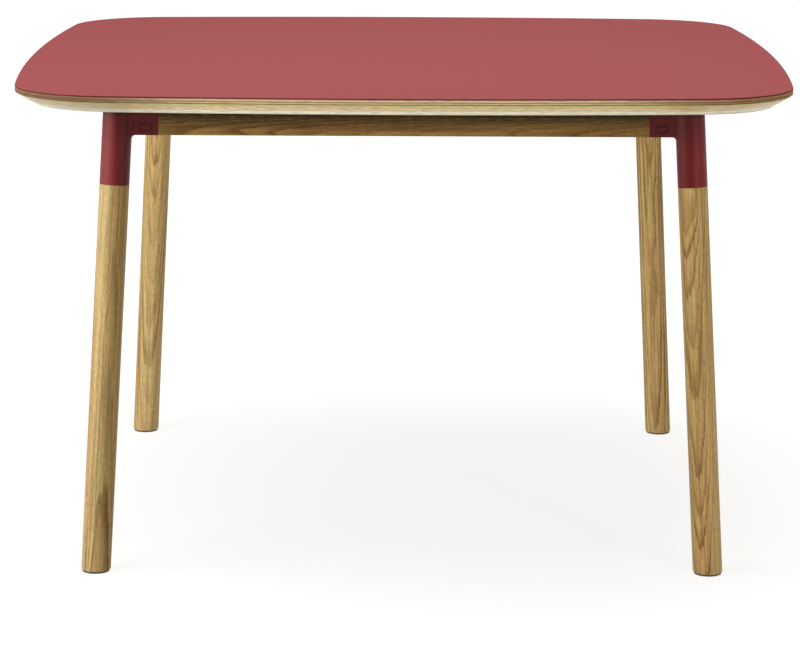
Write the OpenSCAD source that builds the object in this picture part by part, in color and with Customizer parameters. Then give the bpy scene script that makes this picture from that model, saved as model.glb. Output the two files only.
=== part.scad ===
// Square dining table: a bevelled plywood top under a matte surface sheet, four round legs that
// lean in towards the middle, a moulded corner bracket on each leg and a rail between each pair
// of brackets.
// Sizes are millimetres. The origin is on the floor under the middle of the top, +Z is up and
// the front of the table is -Y.

/* [Top] */
// Width of the top, left to right
top_w = 1200; // [900:10:1800]
// Depth of the top, front to back
top_d = 1200; // [900:10:1800]
// Height of the table's surface above the floor
table_h = 744; // [650:1:900]
// Radius of each rounded corner
corner_r = 158; // [80:1:240]
// Radius of the slight outward bow of each side
side_bow_r = 5100; // [3000:50:12000]
// Thickness of the surface sheet
surface_t = 2; // [0.8:0.1:4]
// Rounding of the surface sheet's upper edge
surface_ease = 0.6; // [0.2:0.1:0.7]
// Thickness of the plywood panel
plywood_t = 24.7; // [18:0.1:36]
// Thickness of the balancing sheet under the panel
backing_t = 0.8; // [0.5:0.1:2]
// Height of the upright part of the edge, from the surface down to the bevel
edge_h = 9.5; // [5:0.1:14]
// How far the bevel sets the panel's underside in
bevel_inset = 29; // [10:1:45]
// How far the bevel swells out at its middle
bevel_belly = 1; // [0:0.1:2.5]

/* [Legs] */
// Diameter of the legs and of the sleeves that carry on from them
leg_d = 45; // [42:0.5:56]
// Lean of each leg towards the middle, along the table's diagonal, in degrees
leg_lean = 4.55; // [0:0.05:8]
// Distance from the top's widest line to a leg's axis on the floor
leg_inset = 132; // [100:1:220]
// Diameter of the spigot that enters the sleeve
spigot_d = 37; // [30:0.5:38.5]
// Chamfer round the leg's shoulder, where it meets the sleeve
shoulder_chamfer = 0.8; // [0.3:0.1:2]
// Chamfer round the foot
foot_chamfer = 1; // [0.5:0.1:3]

/* [Glides] */
// Diameter of the glide under each foot
glide_d = 42; // [30:0.5:45]
// Thickness of the glide
glide_t = 3; // [2.4:0.1:8]
// Chamfer round the glide's lower edge
glide_ease = 0.8; // [0.3:0.1:1.5]
// Diameter of the nail that holds the glide
nail_d = 2.6; // [1.6:0.1:4]
// Length of the nail inside the leg
nail_len = 18; // [8:1:30]
// Diameter of the nail's head
nail_head_d = 8; // [5:0.5:14]
// Thickness of the nail's head
nail_head_t = 1; // [0.5:0.1:1.6]

/* [Brackets] */
// Length of the sleeve below the top, along the leg
sleeve_len = 124; // [105:0.5:170]
// Chamfer round the sleeve's lower edge
sleeve_chamfer = 0.5; // [0.2:0.1:2]
// Length of the sleeve above the spigot, which holds the leg's threaded insert
sleeve_web = 40; // [34:1:60]
// Diameter of the relief sunk into the sleeve from above
relief_d = 28; // [16:1:32]
// Depth of the relief
relief_depth = 12; // [4:1:14]
// Length of each arm, from the leg's axis to the rail
arm_len = 61.3; // [58:0.1:90]
// Radius of the blend between an arm's faces and the sleeve
arm_blend_r = 10; // [4:0.5:16]
// Radius of the blend between an arm's underside and the sleeve
arm_under_r = 8; // [3:0.5:16]
// Thickness of an arm's outer wall
outer_wall = 5; // [4.6:0.1:6.5]
// Thickness of an arm's inner wall
inner_wall = 6; // [4:0.1:7]
// Thickness of the walls above and below the rail's socket
socket_wall = 5; // [3:0.1:8]
// Depth of the rail's socket
socket_depth = 32; // [30:0.5:34]
// Thickness of the plate that takes the top's screws
plate_t = 6; // [4:0.5:10]
// Clear space between a screw head on the plate and the wall or edge beside it
head_room = 3.5; // [2:0.1:5]

/* [Rails] */
// Thickness of the rails, and of the brackets' arms
rail_t = 24; // [20:0.5:30]
// Height of the rails, and of the brackets' arms
rail_h = 49; // [40:0.5:70]
// Rounding of the lower edges of rails and arms
rail_edge_r = 1.5; // [0.5:0.1:3]

/* [Screw caps] */
// Length of the oblong cap over each rail screw
cap_l = 17.6; // [14:0.1:24]
// Height of the cap
cap_h = 9.8; // [9.6:0.1:13]
// Thickness of the cap
cap_t = 1.8; // [1:0.1:2]
// Width of the groove round the cap
cap_groove = 1; // [0.2:0.1:1.4]
// Depth of the cap's face below the arm's face
cap_recess = 0.2; // [0:0.1:0.4]
// Chamfer round the cap's face
cap_ease = 0.4; // [0.2:0.1:0.8]
// Width of the ledge that the cap rests on
cap_ledge = 1.1; // [0.8:0.1:1.2]
// Height of the cap's middle above the arm's underside
cap_rise = 11.8; // [11.4:0.1:20]
// Distance from the arm's end to the cap's middle
cap_from_end = 18.6; // [14:0.1:20]

/* [Fasteners] */
// Diameter of a rail screw
rail_screw_d = 4; // [3:0.5:5]
// Diameter of a rail screw's head
rail_head_d = 7.2; // [6:0.1:7.5]
// Thickness of a rail screw's head
rail_head_t = 2.2; // [1.6:0.1:2.5]
// Diameter of the insert that a rail screw turns into
rail_insert_d = 6.2; // [5.6:0.1:8]
// Diameter of the bolt that ties a leg to its bracket
leg_bolt_d = 10; // [8:0.5:12]
// Length of that bolt inside the leg
leg_bolt_grip = 50; // [30:1:70]
// Diameter of the insert that the leg bolt turns into
leg_insert_d = 14; // [13:0.5:18]
// Length of the leg's insert
leg_insert_len = 18; // [12:1:20]
// Diameter of a screw that holds the top
top_screw_d = 5; // [4:0.5:6]
// Diameter of a top screw's head
top_head_d = 9.5; // [8:0.1:11]
// Thickness of a top screw's head
top_head_t = 3; // [2:0.1:4]
// Diameter of the insert in the panel
top_insert_d = 8.4; // [7:0.1:12]
// Length of the insert in the panel
top_insert_len = 12; // [8:0.5:14]
// Width across the corners of a screw head's hexagon socket
key_d = 3.4; // [2.5:0.1:4]
// Depth of the hexagon socket
key_depth = 1.4; // [0.8:0.1:1.6]

/* [Clearances] */
// Clearance on each side of pieces that slide together
fit = 0.2; // [0.1:0.05:0.4]
// Clearance round inserts, nails and threads
snug = 0.05; // [0.02:0.01:0.1]
// Gap between a spigot's end and the bottom of its bore
end_gap = 1; // [0.5:0.1:2]

/* [Hidden] */
CORNERS = ["front_left", "front_right", "back_right", "back_left"];
SIDES = ["front", "right", "back", "left"];
$fn = 96;
// How far a cut runs past the face that it opens
cut = 1;
// How far a blend ends inside the surface that it meets
sink = 0.12;
// Steps along each part of the top's outline, and up its bevel
corner_steps = 28;
side_steps = 8;
bevel_steps = 5;
// Steps along a blend, round an arm's lower edge and across its underside
blend_steps = 6;
edge_steps = 4;
under_steps = 4;

// Which way each corner lies from the middle
corner_sign = [[-1, -1], [1, -1], [1, 1], [-1, 1]];
// Heights of the faces between the layers of the top
plywood_top = table_h - surface_t;
plywood_base = plywood_top - plywood_t;
underside = plywood_base - backing_t;
// Floor places of the legs' axes, and how much an axis moves in X and in Y for each unit of height
foot_x = top_w / 2 - leg_inset;
foot_y = top_d / 2 - leg_inset;
slope = tan(leg_lean) / sqrt(2);
// The rails' middle planes cross where the leg's axis is at half the rails' height
rail_shift = slope * (underside - rail_h / 2);
rail_x = foot_x - rail_shift;
rail_y = foot_y - rail_shift;
// Places along a leg's axis, from the floor
sleeve_base = underside / cos(leg_lean) - sleeve_len;
shoulder = sleeve_base - fit;
spigot_end = sleeve_base + sleeve_len - sleeve_web - end_gap;
bore_end = sleeve_base + sleeve_len - sleeve_web;
insert_end = bore_end + leg_insert_len;
// The socket in an arm, and the tenon that fills it
socket_w = rail_t - outer_wall - inner_wall;
socket_h = rail_h - 2 * socket_wall;
socket_side = outer_wall - rail_t / 2;
tenon_len = socket_depth - end_gap;
// Place of a rail screw, from the crossing of the rails' middle planes at the underside
screw_u = arm_len - cap_from_end;
screw_z = cap_rise - rail_h;
head_seat = socket_side + fit;
pocket_depth = cap_t + cap_recess;
// The plate's lip beyond the arms' inner faces, and its three holes
plate_lip = top_head_d + 2 * head_room;
plate_start = rail_t / 2 - inner_wall / 2;
plate_edge = rail_t / 2 + plate_lip;
hole_along = arm_len - head_room - top_head_d / 2;
hole_beside = rail_t / 2 + head_room + top_head_d / 2;
hole_diagonal = (leg_d / 2 + head_room + top_head_d / 2) / sqrt(2) + slope * rail_h / 2;
plate_holes = [[hole_along, hole_beside], [hole_beside, hole_along], [hole_diagonal, hole_diagonal]];

// A cap is named by its corner and by the side of the table that it faces
function cap_name(k, arm) = str("cap_", CORNERS[k], "_", SIDES[(k + 3 * arm) % 4]);

// Points of an arc, without its last one
function arc(centre, r, from, to, steps) =
    [for (i = [0:steps - 1]) let (a = from + (to - from) * i / steps) centre + r * [cos(a), sin(a)]];

// The top's outline, set in by a distance: four bowed sides and four corner arcs tangent to them
function top_outline(inset) =
    let (
        side_x = [top_w / 2 - side_bow_r, 0],
        side_y = [0, top_d / 2 - side_bow_r],
        apart = norm(side_x - side_y),
        reach = side_bow_r - corner_r,
        towards = [side_bow_r - top_d / 2, side_bow_r - top_w / 2] / apart,
        c = (side_x + side_y) / 2 + towards * sqrt(reach * reach - apart * apart / 4),
        a = atan2(c.y, c.x - side_x.x),
        b = atan2(c.y - side_y.y, c.x),
        rs = side_bow_r - inset,
        rc = corner_r - inset
    )
    concat(
        arc(side_x, rs, -a, a, side_steps),
        arc(c, rc, a, b, corner_steps),
        arc(side_y, rs, b, 180 - b, side_steps),
        arc([-c.x, c.y], rc, 180 - b, 180 - a, corner_steps),
        arc(-side_x, rs, 180 - a, 180 + a, side_steps),
        arc(-c, rc, 180 + a, 180 + b, corner_steps),
        arc(-side_y, rs, 180 + b, 360 - b, side_steps),
        arc([c.x, -c.y], rc, 360 - b, 360 - a, corner_steps)
    );

function outline_at(inset, z) = [for (p = top_outline(inset)) [p.x, p.y, z]];

// A closed solid through rings of equally many points, each ring anticlockwise seen from its end
module loft(rings) {
    n = len(rings[0]);
    last = len(rings) - 1;
    sides = [
        for (k = [0:last - 1], i = [0:n - 1])
            let (a = k * n + i, b = k * n + (i + 1) % n)
                each [[a, b, a + n], [b, b + n, a + n]]
    ];
    start = [for (i = [1:n - 2]) [0, i + 1, i]];
    end = [for (i = [1:n - 2]) [last * n, last * n + i, last * n + i + 1]];
    polyhedron([for (r = rings) each r], concat(sides, start, end));
}

// Turns and moves a corner's pieces to corner k
module at_corner(k) {
    translate([corner_sign[k].x * foot_x, corner_sign[k].y * foot_y, 0])
        rotate([0, 0, 90 * k])
            children();
}

// Stands the children on the leg's leaning axis
module on_leg() {
    rotate([0, 0, 45])
        rotate([0, leg_lean, 0])
            children();
}

// Moves the children to the crossing of the rails' middle planes, at the top's underside
module on_bracket() {
    translate([rail_shift, rail_shift, underside]) children();
}

// The children on one arm and, mirrored in the corner's diagonal, on the other
module on_arm(arm) {
    if (arm == 0) children();
    else mirror([1, -1, 0]) children();
}

module on_both_arms() {
    for (arm = [0, 1]) on_arm(arm) children();
}

// An oblong with round ends, standing in an arm's outer face and running inwards
module oblong(l, h, depth, ends_fn) {
    rotate([-90, 0, 0])
        linear_extrude(depth) {
            square([l - h, h], center = true);
            for (side = [-1, 1]) translate([side * (l - h) / 2, 0]) circle(d = h, $fn = ends_fn);
        }
}

// Shank with a flat round head below it and a hexagon socket in the head
module screw(d, l, head_d, head_t) {
    cylinder(d = d, h = l);
    difference() {
        translate([0, 0, -head_t]) cylinder(d = head_d, h = head_t);
        translate([0, 0, -head_t - cut]) cylinder(d = key_d, h = key_depth + cut, $fn = 6);
    }
}

// Threaded insert, taken as a plain ring
module insert_ring(d, bore, l) {
    difference() {
        cylinder(d = d, h = l);
        translate([0, 0, -cut]) cylinder(d = bore + 2 * snug, h = l + 2 * cut);
    }
}

// Layers of the top

module top_surface() {
    color("indianred")
        loft([
            outline_at(surface_ease, table_h),
            outline_at(0, table_h - surface_ease),
            outline_at(0, plywood_top)
        ]);
}

// Distance that the bevel is set in, at share t of the way down
function bevel_set_in(t) = bevel_inset * t - 4 * bevel_belly * t * (1 - t);

module panel_holes(l) {
    for (k = [0:3])
        at_corner(k)
            on_bracket()
                for (p = plate_holes)
                    translate([p.x, p.y, -cut]) cylinder(d = top_insert_d + 2 * snug, h = l + cut);
}

module top_plywood() {
    bevel_top = table_h - edge_h;
    color("burlywood")
        difference() {
            loft(concat(
                [outline_at(0, plywood_top)],
                [
                    for (i = [0:bevel_steps])
                        let (t = i / bevel_steps)
                            outline_at(bevel_set_in(t), bevel_top + (plywood_base - bevel_top) * t)
                ]
            ));
            panel_holes(top_insert_len + end_gap);
        }
}

module top_backing() {
    color("tan")
        difference() {
            translate([0, 0, underside]) linear_extrude(backing_t) polygon(top_outline(bevel_inset));
            panel_holes(backing_t + cut);
        }
}

// Corner brackets

// Sideways place of the leg's axis at a height in the bracket's own frame
function axis_at(z) = slope * (z + rail_h / 2);

// Surface of the sleeve, a little inside it, at a sideways place and a height
function sleeve_u(v, z) =
    let (r = leg_d / 2 - sink) axis_at(z) + sqrt(r * r - (v - axis_at(z)) * (v - axis_at(z)));

// Blend of an arm's side, at share t of the way to the sleeve: how far it has swelled sideways,
// and how far it still is from the sleeve
function side_blend(side, z, t) =
    let (
        r = leg_d / 2 - sink,
        h = rail_t / 2 - side * axis_at(z),
        rise = h + arm_blend_r,
        run = sqrt((r + arm_blend_r) * (r + arm_blend_r) - rise * rise),
        a = t * atan2(run, rise),
        swell = arm_blend_r * (1 - cos(a)),
        v = h + swell
    )
    [swell, run - arm_blend_r * sin(a) - sqrt(max(0, r * r - v * v))];

// Blend of the arm's underside: how far it has dropped, and how far it still is from the sleeve
function under_blend(t) =
    let (a = t * atan2(1, slope))
    [arm_under_r * (1 - cos(a)), arm_under_r * (sqrt(1 + slope * slope) - sin(a) - slope * cos(a))];

// One point round an arm's lower edge, at share t of the blend and angle a of the edge
function edge_point(side, t, a) =
    let (
        s = side_blend(side, rail_edge_r - rail_h, t),
        u = under_blend(t),
        v = side * (rail_t / 2 + s[0] - (rail_edge_r + s[0]) * (1 - cos(a))),
        z = (rail_edge_r + u[0]) * (1 - sin(a)) - rail_h - u[0],
        mix = sin(a) * sin(a)
    )
    [sleeve_u(v, z) + s[1] * (1 - mix) + u[1] * mix, v, z];

function under_point(share, t) =
    let (u = under_blend(t), v = (rail_t / 2 - rail_edge_r) * share, z = -rail_h - u[0])
    [sleeve_u(v, z) + u[1], v, z];

function top_point(side, t) =
    let (s = side_blend(side, 0, t), v = side * (rail_t / 2 + s[0]))
    [sleeve_u(v, 0) + s[1], v, 0];

// Section of an arm at share t of its blend, from its outer side under to its inner side
function arm_section(t) =
    concat(
        [top_point(-1, t)],
        [for (i = [0:edge_steps]) edge_point(-1, t, 90 * i / edge_steps)],
        [for (i = [1:under_steps - 1]) under_point(2 * i / under_steps - 1, t)],
        [for (i = [edge_steps:-1:0]) edge_point(1, t, 90 * i / edge_steps)],
        [top_point(1, t)]
    );

// An arm's skin, from its end face through its blends to a ring well inside the sleeve
module arm() {
    root = [for (p = arm_section(1)) [p.x - leg_d / 8, p.y, p.z]];
    loft(concat(
        [[for (p = arm_section(0)) [arm_len, p.y, p.z]]],
        [for (i = [0:blend_steps]) arm_section(i / blend_steps)],
        [root]
    ));
}

module sleeve() {
    difference() {
        on_leg() {
            translate([0, 0, sleeve_base])
                cylinder(r1 = leg_d / 2 - sleeve_chamfer, r2 = leg_d / 2, h = sleeve_chamfer);
            translate([0, 0, sleeve_base + sleeve_chamfer]) cylinder(d = leg_d, h = sleeve_len);
        }
        on_bracket() translate([-leg_d, -leg_d, 0]) cube([2 * leg_d, 2 * leg_d, sleeve_len]);
    }
}

module plate() {
    translate([0, 0, -plate_t])
        linear_extrude(plate_t)
            polygon([
                [plate_start, plate_start],
                [arm_len, plate_start],
                [arm_len, plate_edge],
                [plate_edge, arm_len],
                [plate_start, arm_len]
            ]);
}

// What is cut from one arm: the rail's socket, the cap's pocket, the window for the screw's head
// and the hole for the screw's insert
module arm_cuts() {
    translate([arm_len - socket_depth, socket_side, socket_wall - rail_h])
        cube([socket_depth + cut, socket_w, socket_h]);
    translate([screw_u, -rail_t / 2 - cut, screw_z]) {
        oblong(cap_l + 2 * cap_groove, cap_h + 2 * cap_groove, pocket_depth + cut, $fn);
        oblong(cap_l - 2 * cap_ledge, cap_h - 2 * cap_ledge, outer_wall + 2 * cut, $fn);
    }
    translate([screw_u, rail_t / 2 + cut, screw_z])
        rotate([90, 0, 0]) cylinder(d = rail_insert_d + 2 * snug, h = inner_wall + 2 * cut);
}

module bracket() {
    color("brown")
        difference() {
            union() {
                sleeve();
                on_bracket() {
                    on_both_arms() arm();
                    plate();
                }
            }
            on_leg() {
                translate([0, 0, sleeve_base - cut])
                    cylinder(d = spigot_d + 2 * fit, h = bore_end - sleeve_base + cut);
                translate([0, 0, bore_end - cut])
                    cylinder(d = leg_insert_d + 2 * snug, h = leg_insert_len + cut);
                translate([0, 0, sleeve_base + sleeve_len - relief_depth])
                    cylinder(d = relief_d, h = relief_depth + leg_d);
            }
            on_bracket() {
                on_both_arms() arm_cuts();
                for (p = plate_holes)
                    translate([p.x, p.y, -plate_t - cut])
                        cylinder(d = top_screw_d + 2 * fit, h = plate_t + 2 * cut);
            }
        }
}

// Legs, glides and their nails

module leg() {
    color("burlywood")
        difference() {
            intersection() {
                on_leg() {
                    translate([0, 0, -leg_d]) cylinder(d = leg_d, h = leg_d + shoulder - shoulder_chamfer);
                    translate([0, 0, shoulder - shoulder_chamfer])
                        cylinder(r1 = leg_d / 2, r2 = leg_d / 2 - shoulder_chamfer, h = shoulder_chamfer);
                    translate([0, 0, shoulder]) cylinder(d = spigot_d, h = spigot_end - shoulder);
                }
                translate([slope * glide_t, slope * glide_t, glide_t])
                    cylinder(r1 = leg_d / 2 - foot_chamfer, r2 = table_h, h = table_h);
            }
            on_leg()
                translate([0, 0, spigot_end - leg_bolt_grip - end_gap])
                    cylinder(d = leg_bolt_d + 2 * snug, h = leg_bolt_grip + end_gap + cut);
            translate([0, 0, glide_t - cut])
                cylinder(d = nail_d + 2 * snug, h = nail_len + end_gap + cut);
        }
}

module glide() {
    color("dimgray")
        difference() {
            union() {
                cylinder(r1 = glide_d / 2 - glide_ease, r2 = glide_d / 2, h = glide_ease);
                translate([0, 0, glide_ease]) cylinder(d = glide_d, h = glide_t - glide_ease);
            }
            translate([0, 0, glide_t - nail_head_t - snug])
                cylinder(d = nail_head_d + 2 * snug, h = nail_head_t + snug + cut);
        }
}

module glide_nail() {
    translate([0, 0, glide_t - nail_head_t]) {
        cylinder(d = nail_head_d, h = nail_head_t);
        cylinder(d = nail_d, h = nail_head_t + nail_len);
    }
}

// Rails

// Rail along X with its outer face towards -Y, and a tenon on each end
module rail(centre) {
    half = centre - arm_len - fit;
    tenon_w = socket_w - 2 * fit;
    tenon_h = socket_h - 2 * fit;
    color("peru")
        difference() {
            union() {
                translate([-half, 0, underside])
                    rotate([90, 0, 90])
                        linear_extrude(2 * half) {
                            translate([-rail_t / 2, rail_edge_r - rail_h]) square([rail_t, rail_h - rail_edge_r]);
                            translate([rail_edge_r - rail_t / 2, -rail_h]) square([rail_t - 2 * rail_edge_r, rail_h]);
                            for (side = [-1, 1])
                                translate([side * (rail_t / 2 - rail_edge_r), rail_edge_r - rail_h])
                                    circle(r = rail_edge_r);
                        }
                translate([-half - tenon_len, socket_side + fit, underside + socket_wall + fit - rail_h])
                    cube([2 * (half + tenon_len), tenon_w, tenon_h]);
            }
            for (side = [-1, 1])
                translate([side * (centre - screw_u), rail_t, underside + screw_z])
                    rotate([90, 0, 0]) cylinder(d = rail_screw_d + 2 * fit, h = 2 * rail_t);
        }
}

// Screws, inserts, bolts and caps

module screw_cap() {
    color("brown")
        translate([screw_u, pocket_depth - rail_t / 2, screw_z])
            rotate([0, 0, 180])
                hull() {
                    oblong(cap_l, cap_h, cap_t - cap_ease, 32);
                    oblong(cap_l - 2 * cap_ease, cap_h - 2 * cap_ease, cap_t, 32);
                }
}

module rail_screw() {
    translate([screw_u, head_seat, screw_z])
        rotate([-90, 0, 0])
            screw(rail_screw_d, rail_t / 2 - head_seat, rail_head_d, rail_head_t);
}

module rail_insert() {
    translate([screw_u, rail_t / 2 - inner_wall, screw_z])
        rotate([-90, 0, 0]) insert_ring(rail_insert_d, rail_screw_d, inner_wall);
}

module leg_bolt() {
    on_leg()
        translate([0, 0, spigot_end - leg_bolt_grip])
            cylinder(d = leg_bolt_d, h = insert_end - spigot_end + leg_bolt_grip);
}

module leg_insert() {
    on_leg() translate([0, 0, bore_end]) insert_ring(leg_insert_d, leg_bolt_d, leg_insert_len);
}

module top_screw() {
    translate([0, 0, -plate_t])
        screw(top_screw_d, plate_t + top_insert_len - end_gap, top_head_d, top_head_t);
}

// Draws one of the children at every corner
module at_all_corners() {
    for (k = [0:3]) at_corner(k) children();
}

top_surface();
top_plywood();
top_backing();
for (k = [0:3]) {
    at_corner(k) bracket();
    at_corner(k) leg();
    at_corner(k) glide();
    rotate([0, 0, 90 * k])
            translate([0, k % 2 == 0 ? -rail_y : -rail_x, 0])
                rail(k % 2 == 0 ? rail_x : rail_y);
    for (a = [0, 1])
        at_corner(k) on_bracket() on_arm(a) screw_cap();
}
color("silver") at_all_corners() on_bracket() on_both_arms() rail_screw();  // rail_screws
color("goldenrod") at_all_corners() on_bracket() on_both_arms() rail_insert();  // rail_inserts
color("silver") at_all_corners() leg_bolt();  // leg_bolts
color("goldenrod") at_all_corners() leg_insert();  // leg_inserts
color("silver") at_all_corners() on_bracket() for (p = plate_holes) translate([p.x, p.y, 0]) top_screw();  // top_screws
color("goldenrod")  // top_inserts
        at_all_corners()
            on_bracket()
                for (p = plate_holes)
                    translate([p.x, p.y, 0]) insert_ring(top_insert_d, top_screw_d, top_insert_len);
color("silver") at_all_corners() glide_nail();  // glide_nails
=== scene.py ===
"""Looks of the square dining table: its finishes, its finely modelled pieces, light, floor and camera.

Lengths are metres. The frame's origin is on the floor under the middle of the top, +Z is up and the
front of the table is -Y.
"""
import math

import bpy
import numpy as np
from mathutils import Matrix, Vector


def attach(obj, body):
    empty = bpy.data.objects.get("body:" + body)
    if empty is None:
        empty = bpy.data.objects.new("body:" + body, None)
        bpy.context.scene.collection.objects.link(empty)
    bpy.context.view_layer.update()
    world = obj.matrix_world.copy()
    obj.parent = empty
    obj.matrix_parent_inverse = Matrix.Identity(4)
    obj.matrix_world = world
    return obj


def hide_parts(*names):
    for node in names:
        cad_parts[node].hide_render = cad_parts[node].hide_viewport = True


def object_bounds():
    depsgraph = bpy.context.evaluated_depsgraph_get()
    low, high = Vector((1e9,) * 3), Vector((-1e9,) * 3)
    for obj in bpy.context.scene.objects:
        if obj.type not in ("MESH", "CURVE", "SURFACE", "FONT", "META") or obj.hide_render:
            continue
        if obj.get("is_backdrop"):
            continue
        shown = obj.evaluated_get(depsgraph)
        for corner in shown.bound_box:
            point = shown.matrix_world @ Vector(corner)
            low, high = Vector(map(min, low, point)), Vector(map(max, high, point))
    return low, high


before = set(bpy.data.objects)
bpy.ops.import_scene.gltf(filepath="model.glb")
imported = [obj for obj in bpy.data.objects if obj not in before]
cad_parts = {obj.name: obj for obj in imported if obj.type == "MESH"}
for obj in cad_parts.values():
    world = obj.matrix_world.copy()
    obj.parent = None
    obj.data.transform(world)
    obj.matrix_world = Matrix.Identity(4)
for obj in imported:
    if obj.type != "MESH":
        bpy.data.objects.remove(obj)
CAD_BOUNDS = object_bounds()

MM = 0.001
CORNERS = ["front_left", "front_right", "back_right", "back_left"]
SIDES = ["front", "right", "back", "left"]
CORNER_SIGN = [(-1, -1), (1, -1), (1, 1), (-1, 1)]

# Sizes of the top
TOP_W = 1200 * MM
TOP_H = 744 * MM
CORNER_R = 158 * MM
SIDE_BOW_R = 5100 * MM
SURFACE_T = 2 * MM
SURFACE_EASE = 0.6 * MM
SURFACE_LOWER_EASE = 0.1 * MM
PLYWOOD_T = 24.7 * MM
PLYWOOD_EASE = 0.15 * MM
BACKING_T = 0.8 * MM
BACKING_EASE = 0.2 * MM
UPRIGHT_H = 9.5 * MM
BEVEL_EASE = 0.3 * MM
BEVEL_INSET = 29 * MM
BEVEL_BELLY = 1 * MM
PLYWOOD_TOP = TOP_H - SURFACE_T
PLYWOOD_BASE = PLYWOOD_TOP - PLYWOOD_T
UNDERSIDE = PLYWOOD_BASE - BACKING_T
BEVEL_TOP = TOP_H - UPRIGHT_H

# Insets of the rings that divide the top's flat faces: the hidden ones and the surface
HIDDEN_RING = 40 * MM
SURFACE_RINGS = (3 * MM, 12 * MM, 40 * MM, 90 * MM)
BEVEL_STEPS = 14

# Sizes of the legs and glides
LEG_R = 22.5 * MM
LEAN = math.radians(4.55)
LEG_INSET = 132 * MM
FOOT = TOP_W / 2 - LEG_INSET
FOOT_ROUND = 1.6 * MM
SHOULDER_CHAMFER = 0.8 * MM
SPIGOT_R = 18.5 * MM
SPIGOT_CHAMFER = 1 * MM
BOLT_HOLE_R = 5.1 * MM
GLIDE_R = 21 * MM
GLIDE_T = 3 * MM
GLIDE_EASE = 0.8 * MM
GLIDE_UPPER_EASE = 0.2 * MM

# Rings that divide the legs: round the middle of foot and glide, the highest level one over the glide, the
# lowest of those square to the leg and their number, and two close to the spigot's foot
MIDDLE_R = 4 * MM
LEVEL_RING = 12 * MM
SQUARE_FROM = 60 * MM
SQUARE_RINGS = 22
BESIDE_SPIGOT = 0.3 * MM
ABOVE_SHOULDER = 0.5 * MM

# Sizes of the brackets, caps and rails
RAIL_T = 24 * MM
RAIL_H = 49 * MM
EDGE_R = 1.5 * MM
FIT = 0.2 * MM
END_GAP = 1 * MM
SLEEVE_LEN = 124 * MM
SLEEVE_EASE = 0.5 * MM
SLEEVE_WEB = 40 * MM
RELIEF_R = 14 * MM
RELIEF_DEPTH = 12 * MM
LEG_INSERT_R = 7.05 * MM
LEG_INSERT_LEN = 18 * MM
ARM_LEN = 61.3 * MM
ARM_EASE = 0.4 * MM
ARM_BLEND_R = 10 * MM
ARM_UNDER_R = 8 * MM
OUTER_WALL = 5 * MM
INNER_WALL = 6 * MM
SOCKET_WALL = 5 * MM
SOCKET_DEPTH = 32 * MM
RAIL_INSERT_R = 3.15 * MM
SCREW_HOLE_R = 2.7 * MM
SCREW_ROOM = 8.25 * MM
PLATE_T = 6 * MM
PLATE_CORNER_R = 3 * MM
PLATE_EASE = 0.6 * MM
PLATE_BLEND_R = 1.2 * MM
PLATE_EDGE = RAIL_T / 2 + 2 * SCREW_ROOM
UPPER_EASE = 0.3 * MM
CAP_L = 17.6 * MM
CAP_H = 9.8 * MM
CAP_T = 1.8 * MM
CAP_EASE = 0.5 * MM
CAP_BACK_EASE = 0.3 * MM
CAP_GROOVE = 1 * MM
CAP_LEDGE = 1.1 * MM
CAP_RECESS = 0.2 * MM
CAP_FROM_END = 18.6 * MM
CAP_RISE = 11.8 * MM
CAP_FACE_TRIMS = (2.4 * MM, 5 * MM)
CAP_U = ARM_LEN - CAP_FROM_END
CAP_Z = CAP_RISE - RAIL_H

# What follows from the lean: the axis's slope both ways, its shift at the rails' height, and places along it
SLOPE = math.tan(LEAN) / math.sqrt(2)
RAIL_SHIFT = SLOPE * (UNDERSIDE - RAIL_H / 2)
SLEEVE_BASE = UNDERSIDE / math.cos(LEAN) - SLEEVE_LEN
SHOULDER = SLEEVE_BASE - FIT
BORE_END = SLEEVE_BASE + SLEEVE_LEN - SLEEVE_WEB

# Grid that the brackets are contoured on: fine round the sleeve's lower edge and the arms, coarse along the
# plain sleeve. Each stop is a place and the spacing from there on. No line of it lies in a flat face
GRID_ACROSS = [(-31.37 * MM, 1.3 * MM)]
GRID_ACROSS_END = 63.4 * MM
GRID_UP = [(-129.3 * MM, 0.9 * MM), (-121.6 * MM, 4 * MM), (-61.1 * MM, 1.25 * MM)]
GRID_UP_END = 1.9 * MM
BISECTIONS = 12

# How firmly a vertex keeps to the middle of its cell's crossings, and how far into a face the brackets'
# normals are taken
STEADY = 0.03
NUDGE = 0.2
NORMAL_STEP = 0.02 * MM

# Least length that is divided by, and limits of the cosine and squared sine between blended faces
TINY = 1e-12
BLEND_COS = (-0.9, 0.985)
BLEND_SINE_SQUARED = 0.01

# Camera, solved from the photograph's perspective. Its lens and sensor are millimetres
CAMERA_PLACE = (-0.0044, -5.012, 1.2956)
CAMERA_PITCH = math.radians(11.322)
CAMERA_ROLL = math.radians(0.259)
CAMERA_LENS = 138.48
SENSOR_WIDTH = 36

# Each light's place, the point that it faces, its width and height, and its power in watts
LIGHTS = {
    "overhead": ((0, -0.2, 3.0), (0, 0, 0.7), (2.6, 2.6), 46),
    "left": ((-1.75, -1.0, 0.75), (-0.45, -0.2, 0.45), (1.6, 0.9), 22),
    "front_right": ((1.5, -2.2, 1.0), (0.4, -0.4, 0.4), (0.4, 1.0), 9),
}
WORLD_LIGHT = 0.2

# The floor: half its width, its own colour, and the share of white that it glows with, as light and as seen.
# What is seen goes from near to far with the distance from a middle, measured on scaled axes, so that a
# painted shadow lies round the table
FLOOR_HALF = 14.0
FLOOR_SHADE = 0.25
GLOW_LIGHT = 0.47
GLOW_NEAR = 0.8
GLOW_FAR = 1.0
GLOW_FROM = 0.2
GLOW_TO = 2.0
GLOW_MIDDLE = (0.13, -0.1, 0)
GLOW_SCALE = (1.35, 1.05, 0)


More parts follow.
